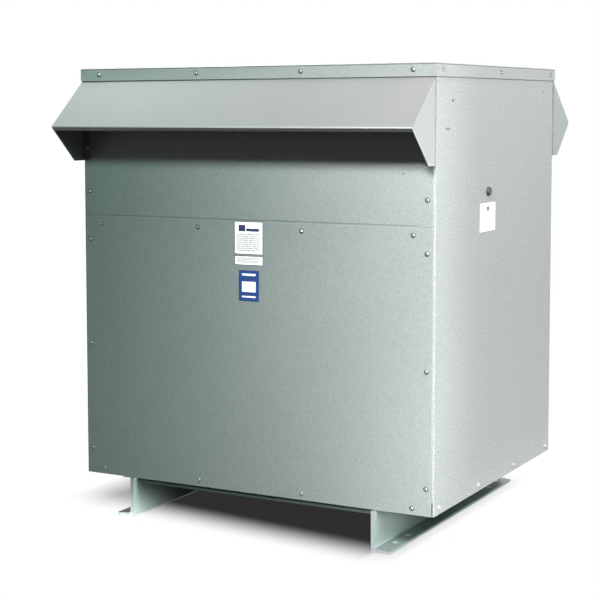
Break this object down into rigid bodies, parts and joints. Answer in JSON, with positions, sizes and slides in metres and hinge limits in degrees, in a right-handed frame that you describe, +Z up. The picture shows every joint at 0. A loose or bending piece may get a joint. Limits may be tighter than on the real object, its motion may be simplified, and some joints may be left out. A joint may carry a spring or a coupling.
{
  "type": "distribution transformer",
  "caption": "Floor-standing ventilated dry-type transformer in a grey sheet-steel housing with rain hoods over its air outlets, on two channel feet.",
  "frame": {"origin": "on the floor, at the middle of the footprint, hoods included", "axes": "+X to the right-hand side seen from the front, -Y out of the front with the nameplate, +Z up"},
  "size_m": [1.022, 1.1364, 1.1836],
  "materials": {
    "panel_paint": "satin powder coat, grey-green",
    "hood_paint": "satin powder coat, grey-green",
    "frame_paint": "satin paint on rolled steel",
    "zinc_plate": "zinc-plated sheet",
    "screw_steel": "zinc-plated",
    "plate_white": "matt white print film",
    "emblem_blue": "matt blue print film",
    "core_steel": "laminated electrical steel under varnish",
    "clamp_paint": "dark primer",
    "varnished_winding": "wrapped conductor under brown varnish",
    "insulation": "glass polyester",
    "copper": "bare copper",
    "pad_rubber": "black rubber"
  },
  "bodies": {
    "root": {"base_pan": "panel_paint", "bus_support_board": "insulation", "clamp_tie_bars": "clamp_paint", "coil_blocks": "insulation", "core": "core_steel", "duct_sticks": "insulation", "emblem_label": "emblem_blue", "front_cross_rail": "frame_paint", "front_lower_clamp": "clamp_paint", "front_lower_panel": "panel_paint", "front_panel_screws": "screw_steel", "front_rain_hood": "hood_paint", "front_seam_rail": "zinc_plate", "front_upper_clamp": "clamp_paint", "front_upper_panel": "panel_paint", "ground_bar": "copper", "ground_strap": "copper", "high_voltage_winding_1": "varnished_winding", "high_voltage_winding_2": "varnished_winding", "high_voltage_winding_3": "varnished_winding", "hood_screws": "screw_steel", "intake_screen": "zinc_plate", "isolation_pads": "pad_rubber", "left_brace_bracket": "zinc_plate", "left_core_rail": "zinc_plate", "left_foot_channel": "frame_paint", "left_side_panel": "panel_paint", "low_voltage_winding_1": "varnished_winding", "low_voltage_winding_2": "varnished_winding", "low_voltage_winding_3": "varnished_winding", "nameplate": "plate_white", "neutral_bus_bar": "copper", "neutral_risers": "copper", "primary_bus_bars": "copper", "rating_label": "plate_white", "rear_cross_rail": "frame_paint", "rear_lower_clamp": "clamp_paint", "rear_lower_panel": "panel_paint", "rear_panel_screws": "screw_steel", "rear_rain_hood": "hood_paint", "rear_seam_rail": "zinc_plate", "rear_upper_clamp": "clamp_paint", "rear_upper_panel": "panel_paint", "right_brace_bracket": "zinc_plate", "right_core_rail": "zinc_plate", "right_foot_channel": "frame_paint", "right_side_panel": "panel_paint", "secondary_bus_bar_1": "copper", "secondary_bus_bar_2": "copper", "secondary_bus_bar_3": "copper", "side_bolts": "screw_steel", "side_panel_screws": "screw_steel", "side_tag": "plate_white", "support_brackets": "zinc_plate", "tap_boards": "insulation", "tap_nuts": "screw_steel", "tie_plates": "clamp_paint", "top_cover": "panel_paint", "top_cover_screws": "screw_steel"}
  },
  "joints": []
}
